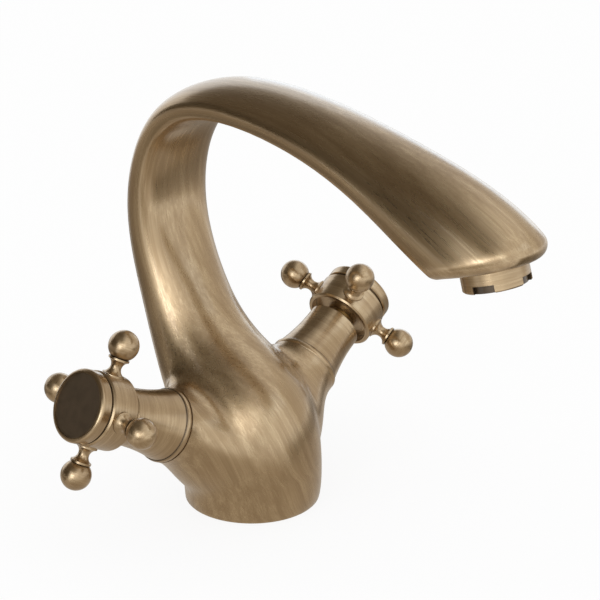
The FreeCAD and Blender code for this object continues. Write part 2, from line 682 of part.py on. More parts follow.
def ball_arm():
    """One turned piece: threaded stud, flange, waist, collar and ball."""
    flange_top = ARM_SEAT + ARM_FLANGE_HEIGHT
    collar_top = BALL_REACH - COLLAR_TO_BALL_CENTRE
    collar = collar_top - ARM_COLLAR_HEIGHT
    neck_radius = math.sqrt(BALL_RADIUS ** 2 - COLLAR_TO_BALL_CENTRE ** 2)
    return lathe(
        (0, ARM_SEAT - ARM_STUD_LENGTH), (ARM_STUD_RADIUS, ARM_SEAT - ARM_STUD_LENGTH),
        (ARM_STUD_RADIUS, ARM_SEAT), (ARM_FLANGE_RADIUS, ARM_SEAT), (ARM_FLANGE_RADIUS, flange_top),
        ((ARM_WAIST_RADIUS, (flange_top + collar) / 2), (ARM_COLLAR_RADIUS, collar)),
        (ARM_COLLAR_RADIUS, collar_top), (neck_radius, collar_top),
        ((BALL_RADIUS, BALL_REACH), (0, BALL_REACH + BALL_RADIUS)),
    )


def handle_cap():
    """Screw-in cap with a rounded rim and a seat for the index disc."""
    spigot = HUB_FRONT - CAP_SPIGOT_LENGTH
    bore = HUB_FRONT_BORE - CAP_SPIGOT_WALL
    seat = CAP_FRONT - DISC_SEAT_DEPTH
    bend = CAP_EDGE_ROUND * (1 - math.sqrt(0.5))
    return lathe(
        (bore, spigot), (HUB_FRONT_BORE, spigot), (HUB_FRONT_BORE, HUB_FRONT),
        (CAP_GROOVE_RADIUS, HUB_FRONT), (CAP_GROOVE_RADIUS, CAP_BACK),
        (CAP_RADIUS - CAP_BACK_ROUND, CAP_BACK), (CAP_RADIUS, CAP_BACK + CAP_BACK_ROUND),
        (CAP_RADIUS, CAP_FRONT - CAP_EDGE_ROUND),
        ((CAP_RADIUS - bend, CAP_FRONT - bend), (CAP_RADIUS - CAP_EDGE_ROUND, CAP_FRONT)),
        (DISC_SEAT_RADIUS, CAP_FRONT), (DISC_SEAT_RADIUS, seat), (0, seat), (0, CAP_BACK), (bore, CAP_BACK),
    )


def index_disc():
    seat = CAP_FRONT - DISC_SEAT_DEPTH
    return rod(DISC_SEAT_RADIUS - INDEX_DISC_GAP, seat, seat + INDEX_DISC_THICKNESS)


def handle_screw():
    """Socket-head screw that pulls the hub onto the spindle."""
    head_top = HUB_WEB_FRONT + SCREW_HEAD_HEIGHT
    screw = rod(SCREW_RADIUS, HUB_WEB_FRONT - SCREW_LENGTH, HUB_WEB_FRONT)
    screw = screw.fuse(rod(SCREW_HEAD_RADIUS, HUB_WEB_FRONT, head_top))
    socket = prism(hexagon(SCREW_SOCKET_ACROSS_FLATS), head_top - SCREW_SOCKET_DEPTH, head_top + 1)
    return screw.cut(socket)


# ---- aerator ------------------------------------------------------------------------
def aerator_housing():
    """Threaded cup with four spanner notches in its lower edge."""
    cup = lathe(
        (SKIRT_LIP_BORE, 0), (SKIRT_RADIUS - SKIRT_EDGE, 0), (SKIRT_RADIUS, SKIRT_EDGE),
        (SKIRT_RADIUS, SKIRT_HEIGHT), (AERATOR_THREAD_RADIUS, SKIRT_HEIGHT),
        (AERATOR_THREAD_RADIUS, WASHER_SEAT), (SKIRT_BORE, WASHER_SEAT),
        (SKIRT_BORE, SKIRT_LIP_HEIGHT), (SKIRT_LIP_BORE, SKIRT_LIP_HEIGHT),
    )
    keep = rod(SKIRT_BORE + INSERT_WALL / 2, -1, SKIRT_HEIGHT)
    for turn in (NOTCH_TURN, NOTCH_TURN + 90):
        notch = block(4 * SKIRT_RADIUS, NOTCH_WIDTH, -1, NOTCH_HEIGHT)
        notch.rotate(Vector(0, 0, 0), UP, turn)
        cup = cup.cut(notch.cut(keep))
    return cup


def aerator_insert():
    """Plastic jet former: a cup whose floor has rings of round holes."""
    foot = SKIRT_LIP_HEIGHT
    radius = SKIRT_BORE - INSERT_CLEARANCE
    insert = rod(radius, foot, foot + INSERT_HEIGHT)
    insert = insert.cut(rod(radius - INSERT_WALL, foot + INSERT_PLATE, foot + INSERT_HEIGHT + 1))
    holes = [rod(INSERT_HOLE_RADIUS, foot - 1, foot + INSERT_PLATE + 1)]
    for ring in range(1, INSERT_RINGS + 1):
        for i in range(6 * ring):
            angle = 2 * math.pi * i / (6 * ring)
            x = ring * INSERT_HOLE_PITCH * math.cos(angle)
            y = ring * INSERT_HOLE_PITCH * math.sin(angle)
            holes.append(rod(INSERT_HOLE_RADIUS, foot - 1, foot + INSERT_PLATE + 1, x, y))
    return insert.cut(holes)


def aerator_washer():
    ring = rod(AERATOR_THREAD_RADIUS, WASHER_SEAT, WASHER_SEAT + WASHER_THICKNESS)
    return ring.cut(rod(WASHER_BORE, WASHER_SEAT, WASHER_SEAT + WASHER_THICKNESS))


# ---- assembly -----------------------------------------------------------------------
def nodes():
    """Every piece by its node name, in place."""
    pieces = {"body_casting": body_casting(), "base_seal": base_seal()}
    outlet = outlet_frame()
    for make in (aerator_housing, aerator_insert, aerator_washer):
        pieces[make.__name__] = placed(make(), outlet)
    fixed = (
        trim_ring, bonnet, cartridge_housing, fixed_ceramic_disc, seat_seal, housing_o_ring,
        spindle, moving_ceramic_disc, spindle_o_ring, spindle_clip,
        handle_cap, index_disc, handle_screw,
    )
    for side, name in ((-1, "hot"), (1, "cold")):
        frame = valve_frame(side)
        for make in fixed:
            pieces[f"{name}_{make.__name__}"] = placed(make(), frame)
        pieces[f"{name}_handle_hub"] = placed(handle_hub(side), frame)
        for index in range(ARM_COUNT):
            arm = placed(ball_arm(), arm_frame(side, index))
            pieces[f"{name}_ball_arm_{index + 1}"] = placed(arm, frame)
    return pieces


def main():
    os.makedirs("parts", exist_ok=True)
    for name, shape in nodes().items():
        shape.exportStep(f"parts/{name}.step")
        print(f"{name}: {len(shape.Solids)} solid, {shape.Volume:.1f} mm3, valid {shape.isValid()}")


main()
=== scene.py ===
import json
import math

import bmesh
import bpy
import numpy
from mathutils import Matrix, Vector
from mathutils.geometry import intersect_point_line
from mathutils.kdtree import KDTree


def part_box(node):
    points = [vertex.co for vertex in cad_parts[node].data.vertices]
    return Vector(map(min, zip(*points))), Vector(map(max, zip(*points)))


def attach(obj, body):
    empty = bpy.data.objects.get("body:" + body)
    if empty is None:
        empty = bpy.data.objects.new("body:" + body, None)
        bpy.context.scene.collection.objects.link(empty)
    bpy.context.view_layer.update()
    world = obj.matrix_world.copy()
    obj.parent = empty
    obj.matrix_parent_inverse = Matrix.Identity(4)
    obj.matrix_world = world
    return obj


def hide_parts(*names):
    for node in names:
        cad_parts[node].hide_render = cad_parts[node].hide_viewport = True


# Cross handle tap in brushed antique bronze.  Metres, +Z up, spout towards -Y.

MM = 0.001
UP = Vector((0.0, 0.0, 1.0))

# ---- places, as in the CAD --------------------------------------------------------------
VALVE_MEET = Vector((0.0, 4.0, 20.0)) * MM     # where the two valve axes cross
PORT_DISTANCE = 41.55 * MM                     # from the meeting point to a port's face
PORT_REACH = 15.0 * MM                         # no port line further than this from its axis
RING_THICKNESS = 2.5 * MM                      # of a trim ring, along its valve's axis
OUTLET = Vector((0.0, -114.4, 115.6)) * MM     # centre of the aerator's lower rim
OUTLET_LEAN = math.radians(16.5)               # of the aerator's axis, back from upright
SKIRT_SHADE_RADIUS = 11.5 * MM                         # inside this radius the aerator gets painted shade
TURNED_NAMES = ("trim_ring", "bonnet", "handle_hub", "handle_cap")
ARM_NAMES = ("ball_arm_1", "ball_arm_2", "ball_arm_3", "ball_arm_4")
SIDES = ("hot", "cold")

# ---- camera -----------------------------------------------------------------------------
CAMERA_TARGET = Vector((0.0, -24.8, 86.33)) * MM
CAMERA_AZIMUTH = -47.34
CAMERA_ELEVATION = 21.72
CAMERA_DISTANCE = 0.85
CAMERA_SENSOR = 36.0
CAMERA_LENS = 140.93

# ---- brush strokes ----------------------------------------------------------------------
# The neck's centreline as (y, z) in millimetres: the casting's strokes run along it.
NECK_LINE = (
    (0.0, 0.0), (0.0, 12.0), (3.5, 28.5), (20.9, 50.6), (35.1, 76.1), (43.9, 110.3),
    (29.6, 146.9), (-18.9, 155.5), (-67.1, 142.3), (-113.1, 119.8), (-140.0, 107.9),
)
NECK_STEPS = 12                # straight steps between two stations
STROKE_SLANT = 0.72            # sideways travel of a stroke per length, at the base
SLANT_ENDS = 0.100             # metres along the neck where strokes run straight again
STROKE_WIDTH = 0.55 * MM
STROKE_LENGTH = 40.0 * MM
STROKE_DETAIL = 3.0
BAND_WIDTH = 5                 # strokes to the width of a band on the casting
BAND_LENGTH = 3                # and to its length
TURNED_BAND = 0.25             # noise scale of a turned piece's bands, its strokes' being 1
BAND_DETAIL = 2.0

# ---- shading of the casting -------------------------------------------------------------
WELD_DISTANCE = 1e-7
CREASE_ANGLE = math.radians(28.0)
SHADING_REACH = 2.6 * MM       # faces this near share in a point's shading
SHADING_SPREAD = 1.2 * MM      # spread (one sigma) of a face's share over its distance
FACING_COSINE = 0.8            # least, between the normals of such a face and the point
LEAST_FACES = 6                # with fewer of them a point keeps its own shading
FIT_DAMPING = 0.02             # holds the fit steady where its faces lie in a row

# ---- bronze -----------------------------------------------------------------------------
# Colours are linear.  A range is the part of a noise, from 0 to 1, that is spread out.
BRONZE = (0.49, 0.352, 0.198, 1.0)
BRONZE_WORN = (0.60, 0.455, 0.27, 1.0)
BRONZE_PATINA = (0.33, 0.215, 0.105, 1.0)
# dark of the painted shade in crevices and inside the aerator's skirt, and of joint lines
SHADE_AND_JOINT_DARK = (0.06, 0.038, 0.02, 1.0)
STROKE_RANGE = (0.36, 0.64)
WORN_SHARE = 0.9               # of worn metal in the brightest stroke
BAND_SHARE = 0.55              # of patina in the darkest band
MOTTLE_RANGE = (0.35, 0.7)
MOTTLE_SHARE = 0.22            # of patina in a mottled patch
MOTTLE_DETAIL = 3.0
CAST_MOTTLE = 70.0             # mottled patches to the metre
TURNED_MOTTLE = 140.0
CAST_ROUGHNESS = (0.36, 0.26)  # in the darkest stroke and in the brightest
TURNED_ROUGHNESS = (0.36, 0.27)
SHADE_AND_JOINT_ROUGHNESS = 0.3        # added where painted shade or a dark joint line lies
BAND_RELIEF = 0.5              # height of the bands, strokes being 1
RELIEF_STRENGTH = 0.32
RELIEF_DEPTH = 0.05 * MM
ANISOTROPY = 0.5
ANISOTROPY_TURN = 0.25         # of a full turn: highlights lie across the strokes
COAT_WEIGHT = 1.0
COAT_ROUGHNESS = 0.18
# Painted crevice shade: ambient occlusion darkens the colour of a turned piece.
CREVICE_SHADE_REACH = 1.6 * MM       # a wall this near casts painted crevice shade
CREVICE_SHADE_SAMPLES = 8
OPEN_RANGE = (0.1, 0.75)       # of the open share of the view, from a crevice to none
PAINTED_CREVICE_SHADE = 0.85
JOINT_LINE = 0.45 * MM         # a joint's dark line fades out over this on both sides
PORT_DARKNESS = 0.2            # where a trim ring meets the casting
RING_DARKNESS = 0.8            # where it meets the bonnet
SKIRT_SHADE_DARKNESS = 0.9           # painted shade inside the aerator's skirt

# ---- other finishes ---------------------------------------------------------------------
DISC_PATINA = (0.25, 0.19, 0.13, 1.0)
RAW_BRASS = (0.78, 0.60, 0.30, 1.0)
STEEL = (0.62, 0.61, 0.60, 1.0)
CERAMIC = (0.86, 0.84, 0.80, 1.0)
RUBBER = (0.022, 0.021, 0.02, 1.0)
ACETAL = (0.045, 0.042, 0.04, 1.0)
GRAIN_RANGE = (0.3, 0.7)
MARK_SCALE = 2400.0            # tool marks to the metre
MARK_DETAIL = 2.0
MARK_ROUGHNESS = (-0.06, 0.08)
MARK_STRENGTH = 0.15
MARK_DEPTH = 0.03 * MM
TARNISH_SCALE = 220.0          # tarnished patches to the metre
TARNISH_DETAIL = 3.0
TARNISH_RANGE = (0.4, 0.7)
TARNISH_TONE = 0.72            # the metal's own colour being 1
TARNISH_SHARE = 0.6
GRAIN_DETAIL = 3.0
GRAIN_ROUGHNESS = (-0.08, 0.08)
GRAIN_STRENGTH = 0.2
GRAIN_DEPTH = 0.04 * MM
CLOUD_SIZE = 12                # grains to a pale cloud
CLOUD_DETAIL = 2.0
CLOUD_RANGE = (0.35, 0.7)
CLOUD_TONE = 1.25              # the material's own colour being 1
CLOUD_LIFT = 0.01              # added to that
CLOUD_SHARE = 0.5

# ---- studio -----------------------------------------------------------------------------
FOCUS = Vector((0.0, 0.0, 0.09))               # lamps and standing cards face this point
WHITE = (1.0, 1.0, 1.0, 1.0)
FLOOR = (0.95, 0.95, 0.95, 1.0)
FLOOR_SIZE = 12.0
FLOOR_HEIGHT = -0.0002
FLOOR_ROUGHNESS = 0.9
FLOOR_CLOUD_SCALE = 4.0                        # paler clouds to the metre
FLOOR_CLOUD_SHARE = 0.05
FLOOR_WHITENESS = 0.88                         # share of plain white where it is seen directly
WORLD_LEVEL = 0.92                             # the world as light; it shows as plain white
# Tint of a nearly black card; it fades as the radiance grows, and a card at 1 is plain.
CARD_TINT = (1.18, 0.97, 0.72)
# Softboxes: azimuth, elevation, distance, width, height, radiance, tint.
SOFTBOXES = (
    (-73.0, 13.0, 1.5, 0.60, 0.58, 2.8, (0.93, 0.98, 1.06)),
    (-45.0, 22.0, 1.6, 0.90, 0.70, 0.75, (0.96, 0.99, 1.03)),
)
# Standing cards: azimuth, elevation, distance, width, height, radiance.
STANDING_CARDS = (
    (-132.0, 8.0, 1.6, 2.1, 2.2, 0.07),
    (80.0, 22.0, 1.6, 2.5, 2.2, 0.62),
    (116.0, 4.0, 1.4, 0.9, 0.5, 1.4),
    (25.0, 38.0, 1.6, 0.7, 0.7, 1.25),
)
# Flat cards: centre x, y, z, width, depth, direction of the gradient (None is outwards), where
# it starts and ends along that, and the radiance at each end.
FLAT_CARDS = (
    (0.2, 0.60, 1.25, 3.0, 3.2, (-0.6, 0.8, 0.0), -0.5, 0.17, 0.92, 0.13),
    (-0.45, 0.53, 0.0004, 0.9, 0.96, (-0.7, 0.7, 0.0), 0.05, 0.6, 0.12, 0.45),
    (0.42, 0.0, 0.0004, 0.76, 0.9, (1.0, 0.0, 0.0), 0.08, 0.55, 0.14, 0.72),
    (-0.40, -0.23, 0.0003, 0.40, 0.40, (-0.866, -0.5, 0.0), 0.22, 0.42, 0.22, 0.5),
    (0.0, 0.0, 0.0002, 0.56, 0.56, None, 0.10, 0.28, 0.5, 0.85),
    (0.0, 0.0, 0.0006, 0.25, 0.25, None, 0.04, 0.13, 0.45, 0.42),
)

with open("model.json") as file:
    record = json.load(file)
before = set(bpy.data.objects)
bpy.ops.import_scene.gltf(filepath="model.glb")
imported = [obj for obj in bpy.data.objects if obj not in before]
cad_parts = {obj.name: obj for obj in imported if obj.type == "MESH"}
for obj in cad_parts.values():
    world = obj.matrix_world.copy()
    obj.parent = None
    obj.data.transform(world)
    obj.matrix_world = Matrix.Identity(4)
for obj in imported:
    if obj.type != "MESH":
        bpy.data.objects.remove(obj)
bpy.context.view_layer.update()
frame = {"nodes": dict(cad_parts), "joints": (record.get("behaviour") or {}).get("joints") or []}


# ---- shader helpers ---------------------------------------------------------------------
def new_material(name):
    material = bpy.data.materials.new(name)
    material.use_nodes = True
    tree = material.node_tree
    return material, tree, tree.nodes["Principled BSDF"]


def add(tree, kind, inputs=None, **settings):
    """New node; an input is a value or another node's output."""
    made = tree.nodes.new(kind)
    for key, value in settings.items():
        setattr(made, key, value)
    for key, value in (inputs or {}).items():
        if isinstance(value, bpy.types.NodeSocket):
            tree.links.new(value, made.inputs[key])
        else:
            made.inputs[key].default_value = value
    return made


def vector_math(tree, operation, *values):
    made = add(tree, "ShaderNodeVectorMath", dict(enumerate(values)), operation=operation)
    is_number = operation in ("DOT_PRODUCT", "LENGTH", "DISTANCE")
    return made.outputs["Value" if is_number else "Vector"]


def scaled(tree, vector, factor):
    made = add(tree, "ShaderNodeVectorMath", {0: vector, "Scale": factor}, operation="SCALE")
    return made.outputs["Vector"]


def maths(tree, operation, *values):
    return add(tree, "ShaderNodeMath", dict(enumerate(values)), operation=operation).outputs[0]


def noise(tree, vector, scale, detail, w=None):
    inputs = {"Vector": vector, "Scale": scale, "Detail": detail}
    if w is not None:
        inputs["W"] = w
    dimensions = "3D" if w is None else "4D"
    return add(tree, "ShaderNodeTexNoise", inputs, noise_dimensions=dimensions).outputs["Fac"]


def mapped(tree, value, low, high, to_low, to_high):
    inputs = {
        "Value": value, "From Min": low, "From Max": high,
        "To Min": to_low, "To Max": to_high,
    }
    return add(tree, "ShaderNodeMapRange", inputs).outputs["Result"]


def mixed(tree, factor, first, second):
    """Colour between two colours; 6, 7 and 2 are the node's sockets for colours."""
    inputs = {0: factor, 6: first, 7: second}
    return add(tree, "ShaderNodeMix", inputs, data_type="RGBA").outputs[2]


def bumped(tree, height, strength, distance):
    inputs = {"Height": height, "Strength": strength, "Distance": distance}
    return add(tree, "ShaderNodeBump", inputs).outputs["Normal"]


def object_coordinates(tree):
    return add(tree, "ShaderNodeTexCoord").outputs["Object"]


# ---- bronze -----------------------------------------------------------------------------
def finish_bronze(tree, shader, fine, broad, mottle, shade_and_joints, tangent, roughness):
    """Antique bronze: worn strokes over patina, darkened by painted shade and joint lines (0 to
    1).
    """
    stroke = mapped(tree, fine, *STROKE_RANGE, 0.0, 1.0)
    band = mapped(tree, broad, *STROKE_RANGE, 0.0, 1.0)
    worn = mapped(tree, stroke, 0.0, 1.0, 0.0, WORN_SHARE)
    colour = mixed(tree, worn, BRONZE, BRONZE_WORN)
    aged = mapped(tree, band, 0.0, 1.0, BAND_SHARE, 0.0)
    colour = mixed(tree, aged, colour, BRONZE_PATINA)
    patches = mapped(tree, mottle, *MOTTLE_RANGE, 0.0, MOTTLE_SHARE)
    colour = mixed(tree, patches, colour, BRONZE_PATINA)
    # painted shade and dark joint lines darken the colour
    colour = mixed(tree, shade_and_joints, colour, SHADE_AND_JOINT_DARK)
    tree.links.new(colour, shader.inputs["Base Color"])
    rough = mapped(tree, stroke, 0.0, 1.0, *roughness)
    rough = maths(tree, "ADD", rough, maths(tree, "MULTIPLY", shade_and_joints, SHADE_AND_JOINT_ROUGHNESS))
    tree.links.new(rough, shader.inputs["Roughness"])
    relief = maths(tree, "ADD", fine, maths(tree, "MULTIPLY", broad, BAND_RELIEF))
    normal = bumped(tree, relief, RELIEF_STRENGTH, RELIEF_DEPTH)
    tree.links.new(normal, shader.inputs["Normal"])
    tree.links.new(tangent, shader.inputs["Tangent"])
    shader.inputs["Metallic"].default_value = 1.0
    shader.inputs["Anisotropic"].default_value = ANISOTROPY
    shader.inputs["Anisotropic Rotation"].default_value = ANISOTROPY_TURN
    shader.inputs["Coat Weight"].default_value = COAT_WEIGHT
    shader.inputs["Coat Roughness"].default_value = COAT_ROUGHNESS


def painted_crevice_shade(tree):
    """Painted shade from ambient occlusion: 0 in the open, up to its full darkness in a crevice.
    """
    inputs = {"Distance": CREVICE_SHADE_REACH}
    occlusion = add(tree, "ShaderNodeAmbientOcclusion", inputs, samples=CREVICE_SHADE_SAMPLES)
    return mapped(tree, occlusion.outputs["AO"], *OPEN_RANGE, PAINTED_CREVICE_SHADE, 0.0)


def joint_line(tree, height, joint, darkness):
    """Dark line where the height along an axis is that of a joint."""
    gap = maths(tree, "ABSOLUTE", maths(tree, "SUBTRACT", height, joint))
    return mapped(tree, gap, 0.0, JOINT_LINE, darkness, 0.0)


def port_lines(tree, place):
    """Thin dark line round each valve port of the casting."""
    near = None
    offset = vector_math(tree, "SUBTRACT", place, tuple(VALVE_MEET))
    for side in SIDES:
        axis = tuple(valve_axis(side))
        height = vector_math(tree, "DOT_PRODUCT", offset, axis)
        radius = vector_math(tree, "DISTANCE", offset, scaled(tree, axis, height))
        line = joint_line(tree, height, PORT_DISTANCE, PORT_DARKNESS)
        line = maths(tree, "MULTIPLY", line, maths(tree, "LESS_THAN", radius, PORT_REACH))
        near = line if near is None else maths(tree, "MAXIMUM", near, line)
    return near


def cast_bronze():
    """Bronze of the casting, brushed along the neck; reads the strokes stored on its mesh."""
    material, tree, shader = new_material("brushed_bronze_casting")
    strokes = add(tree, "ShaderNodeAttribute", attribute_name="brush_place").outputs["Vector"]
    tangent = add(tree, "ShaderNodeAttribute", attribute_name="brush_run").outputs["Vector"]
    place = object_coordinates(tree)
    across, along = 1 / STROKE_WIDTH, 1 / STROKE_LENGTH
    stroke_scale = (across, across, along)
    fine = noise(tree, vector_math(tree, "MULTIPLY", strokes, stroke_scale), 1.0, STROKE_DETAIL)
    band_scale = (across / BAND_WIDTH, across / BAND_WIDTH, along / BAND_LENGTH)
    broad = noise(tree, vector_math(tree, "MULTIPLY", strokes, band_scale), 1.0, BAND_DETAIL)
    mottle = noise(tree, place, CAST_MOTTLE, MOTTLE_DETAIL)
    shade_and_joints = port_lines(tree, place)
    finish_bronze(tree, shader, fine, broad, mottle, shade_and_joints, tangent, CAST_ROUGHNESS)
    return material


def turned_bronze(name, point, axis, dark_height=None, shade_radius=None):
    """Turned bronze, brushed round its axis; joint line at a height; painted shade inside a
    radius.
    """
    material, tree, shader = new_material(name)
    place = vector_math(tree, "SUBTRACT", object_coordinates(tree), tuple(point))
    height = vector_math(tree, "DOT_PRODUCT", place, tuple(axis))
    radial = vector_math(tree, "SUBTRACT", place, scaled(tree, tuple(axis), height))
    radius = vector_math(tree, "LENGTH", radial)
    ring = vector_math(tree, "NORMALIZE", radial)
    tangent = vector_math(tree, "CROSS_PRODUCT", tuple(axis), ring)
    across = 1 / STROKE_WIDTH
    lifted = scaled(tree, tuple(axis), maths(tree, "MULTIPLY", height, across))
    strokes = vector_math(tree, "ADD", ring, lifted)
    depth = maths(tree, "MULTIPLY", radius, across)
    fine = noise(tree, strokes, 1.0, STROKE_DETAIL, w=depth)
    broad = noise(tree, strokes, TURNED_BAND, BAND_DETAIL, w=depth)
    mottle = noise(tree, place, TURNED_MOTTLE, MOTTLE_DETAIL)
    # painted shade in crevices, from ambient occlusion
    shade_and_joints = painted_crevice_shade(tree)
    if dark_height is not None:
        line = joint_line(tree, height, dark_height, RING_DARKNESS)
        shade_and_joints = maths(tree, "MAXIMUM", shade_and_joints, line)
    # painted shade inside the aerator's skirt, within a radius
    if shade_radius is not None:
        inside = maths(tree, "LESS_THAN", radius, shade_radius)
        shadow = maths(tree, "MULTIPLY", inside, SKIRT_SHADE_DARKNESS)
        shade_and_joints = maths(tree, "MAXIMUM", shade_and_joints, shadow)
    finish_bronze(tree, shader, fine, broad, mottle, shade_and_joints, tangent, TURNED_ROUGHNESS)
    return material


# ---- other materials --------------------------------------------------------------------
def machined_metal(name, colour, roughness):
    """Bare metal with fine tool marks and patches of tarnish."""
    material, tree, shader = new_material(name)
    place = object_coordinates(tree)
    marks = noise(tree, place, MARK_SCALE, MARK_DETAIL)
    tarnish = noise(tree, place, TARNISH_SCALE, TARNISH_DETAIL)
    darker = tuple(channel * TARNISH_TONE for channel in colour[:3]) + (1.0,)
    share = mapped(tree, tarnish, *TARNISH_RANGE, 0.0, TARNISH_SHARE)
    tree.links.new(mixed(tree, share, colour, darker), shader.inputs["Base Color"])
    limits = [roughness + change for change in MARK_ROUGHNESS]
    tree.links.new(mapped(tree, marks, *GRAIN_RANGE, *limits), shader.inputs["Roughness"])
    tree.links.new(bumped(tree, marks, MARK_STRENGTH, MARK_DEPTH), shader.inputs["Normal"])
    shader.inputs["Metallic"].default_value = 1.0
    return material


def moulded(name, colour, roughness, grain):
    """Grained material with paler clouds; the grain is counted to the metre."""
    material, tree, shader = new_material(name)
    place = object_coordinates(tree)
    texture = noise(tree, place, grain, GRAIN_DETAIL)
    cloud = noise(tree, place, grain / CLOUD_SIZE, CLOUD_DETAIL)
    paler = tuple(min(1.0, channel * CLOUD_TONE + CLOUD_LIFT) for channel in colour[:3]) + (1.0,)
    share = mapped(tree, cloud, *CLOUD_RANGE, 0.0, CLOUD_SHARE)
    tree.links.new(mixed(tree, share, colour, paler), shader.inputs["Base Color"])
    limits = [roughness + change for change in GRAIN_ROUGHNESS]
    tree.links.new(mapped(tree, texture, *GRAIN_RANGE, *limits), shader.inputs["Roughness"])
    tree.links.new(bumped(tree, texture, GRAIN_STRENGTH, GRAIN_DEPTH), shader.inputs["Normal"])
    return material


# ---- casting ----------------------------------------------------------------------------
def neck_samples():
    """Points along a smooth curve through the neck's stations, in the plane x = 0."""
    stations = [Vector((0.0, y * MM, z * MM)) for y, z in NECK_LINE]
    ends = [2 * stations[0] - stations[1]] + stations + [2 * stations[-1] - stations[-2]]
    samples = []
    for before, start, end, after in zip(ends, ends[1:], ends[2:], ends[3:]):
        for step in range(NECK_STEPS):
            t = step / NECK_STEPS
            lead = (end - before) / 2
            trail = (after - end + end - start) / 2
            samples.append(
                start * (2 * t**3 - 3 * t**2 + 1) + lead * (t**3 - 2 * t**2 + t)
                + end * (3 * t**2 - 2 * t**3) + trail * (t**3 - t**2)
            )
    samples.append(stations[-1])
    return samples


def slant(along):
    """Sideways shift of the strokes at a distance along the neck, and its slope."""
    if along >= SLANT_ENDS:
        return 0.0, 0.0
    short = 1.0 - max(along, 0.0) / SLANT_ENDS
    return STROKE_SLANT * SLANT_ENDS * short**2 / 2, STROKE_SLANT * short


def brush_at(point, samples, lengths):
    """Place in the field of strokes (across, off the line, along) and the stroke's run."""
    flat = Vector((0.0, point.y, point.z))
    best = None
    for start, end, length in zip(samples, samples[1:], lengths):
        _, t = intersect_point_line(flat, start, end)
        t = min(1.0, max(0.0, t))
        foot = start.lerp(end, t)
        gap = (flat - foot).length
        if best is None or gap < best[0]:
            best = (gap, foot, (end - start).normalized(), length + (end - start).length * t)
    _, foot, run, along = best
    side = Vector((0.0, run.z, -run.y))
    shift, slope = slant(along)
    place = Vector((point.x - shift, (flat - foot).dot(side), along))
    return place, (run - Vector((slope, 0.0, 0.0))).normalized()


def casting_piece():
    """The casting with its brush strokes stored on the mesh."""
    source = frame["nodes"]["body_casting"]
    mesh = source.data.copy()
    mesh.name = "tap_casting"
    piece = bpy.data.objects.new("tap_casting", mesh)
    bpy.context.scene.collection.objects.link(piece)
    weld_and_smooth(mesh)
    samples = neck_samples()
    lengths = [0.0]
    for start, end in zip(samples, samples[1:]):
        lengths.append(lengths[-1] + (end - start).length)
    places = mesh.attributes.new("brush_place", "FLOAT_VECTOR", "POINT")
    runs = mesh.attributes.new("brush_run", "FLOAT_VECTOR", "POINT")
    for vertex in mesh.vertices:
        place, run = brush_at(vertex.co, samples, lengths)
        places.data[vertex.index].vector = place
        runs.data[vertex.index].vector = run
    even_shading(mesh)
    mesh.materials.clear()
    mesh.materials.append(cast_bronze())
    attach(piece, "root")
    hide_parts("body_casting")


def weld_and_smooth(mesh):
    """Join doubled points, shade smooth and keep creases."""
    shape = bmesh.new()
    shape.from_mesh(mesh)
    bmesh.ops.remove_doubles(shape, verts=shape.verts, dist=WELD_DISTANCE)
    for face in shape.faces:
        face.smooth = True
    for edge in shape.edges:
        edge.smooth = not edge.is_manifold or edge.calc_face_angle(0.0) < CREASE_ANGLE
    shape.to_mesh(mesh)
    shape.free()


def fitted_normal(offsets, normals, areas):
    """Normal at a point, by a linear fit to those of faces at offsets from it."""
    weights = areas * numpy.exp(-(offsets**2).sum(axis=1) / 2)
    weights /= weights.sum()
    terms = numpy.column_stack([numpy.ones(len(offsets)), offsets])
    moments = terms.T @ (terms * weights[:, None]) + numpy.diag([0.0] + [FIT_DAMPING] * 3)
    normal = numpy.linalg.solve(moments, terms.T @ (normals * weights[:, None]))[0]
    return normal / numpy.linalg.norm(normal)


def even_shading(mesh):
    """Shade each point off the creases from all the faces near it.

    This evens out what thin triangles along a seam would do to the shading.
    """
    tree = KDTree(len(mesh.polygons))
    centres = numpy.array([tuple(face.center) for face in mesh.polygons])
    normals = numpy.array([tuple(face.normal) for face in mesh.polygons])
    areas = numpy.array([face.area for face in mesh.polygons])
    for index, centre in enumerate(centres):
        tree.insert(centre, index)
    tree.balance()
    creased = {point for edge in mesh.edges if edge.use_edge_sharp for point in edge.vertices}
    fitted = {}
    for vertex in mesh.vertices:
        if vertex.index in creased:
            continue
        found = [hit[1] for hit in tree.find_range(vertex.co, SHADING_REACH)]
        facing = numpy.array(vertex.normal)
        found = [index for index in found if normals[index] @ facing > FACING_COSINE]
        if len(found) < LEAST_FACES:
            continue
        offsets = (centres[found] - numpy.array(vertex.co)) / SHADING_SPREAD
        fitted[vertex.index] = fitted_normal(offsets, normals[found], areas[found])
    corners = [tuple(corner.vector) for corner in mesh.corner_normals]
    for loop in mesh.loops:
        if loop.vertex_index in fitted:
            corners[loop.index] = tuple(fitted[loop.vertex_index])
    mesh.normals_split_custom_set(corners)


# ---- carried-over pieces ----------------------------------------------------------------
def give(node, material):
    """Finish for a piece that keeps its own shape."""
    piece = frame["nodes"][node]
    piece.data.materials.clear()
    piece.data.materials.append(material)
    smooth = piece.modifiers.new("smooth_by_angle", "WEIGHTED_NORMAL")
    smooth.keep_sharp = True


def valve_axis(side):
    joint = next(j for j in frame["joints"] if j["child"] == f"{side}_handle")
    return Vector(joint["axis"]).normalized()


def arm_axis(side, name):
    """Direction of an arm, square to its valve's axis, and the centre of its box."""
    low, high = [Vector(corner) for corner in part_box(f"{side}_{name}")]
    centre = (low + high) / 2
    offset = centre - VALVE_MEET
    axis = valve_axis(side)
    return (offset - axis * offset.dot(axis)).normalized(), centre


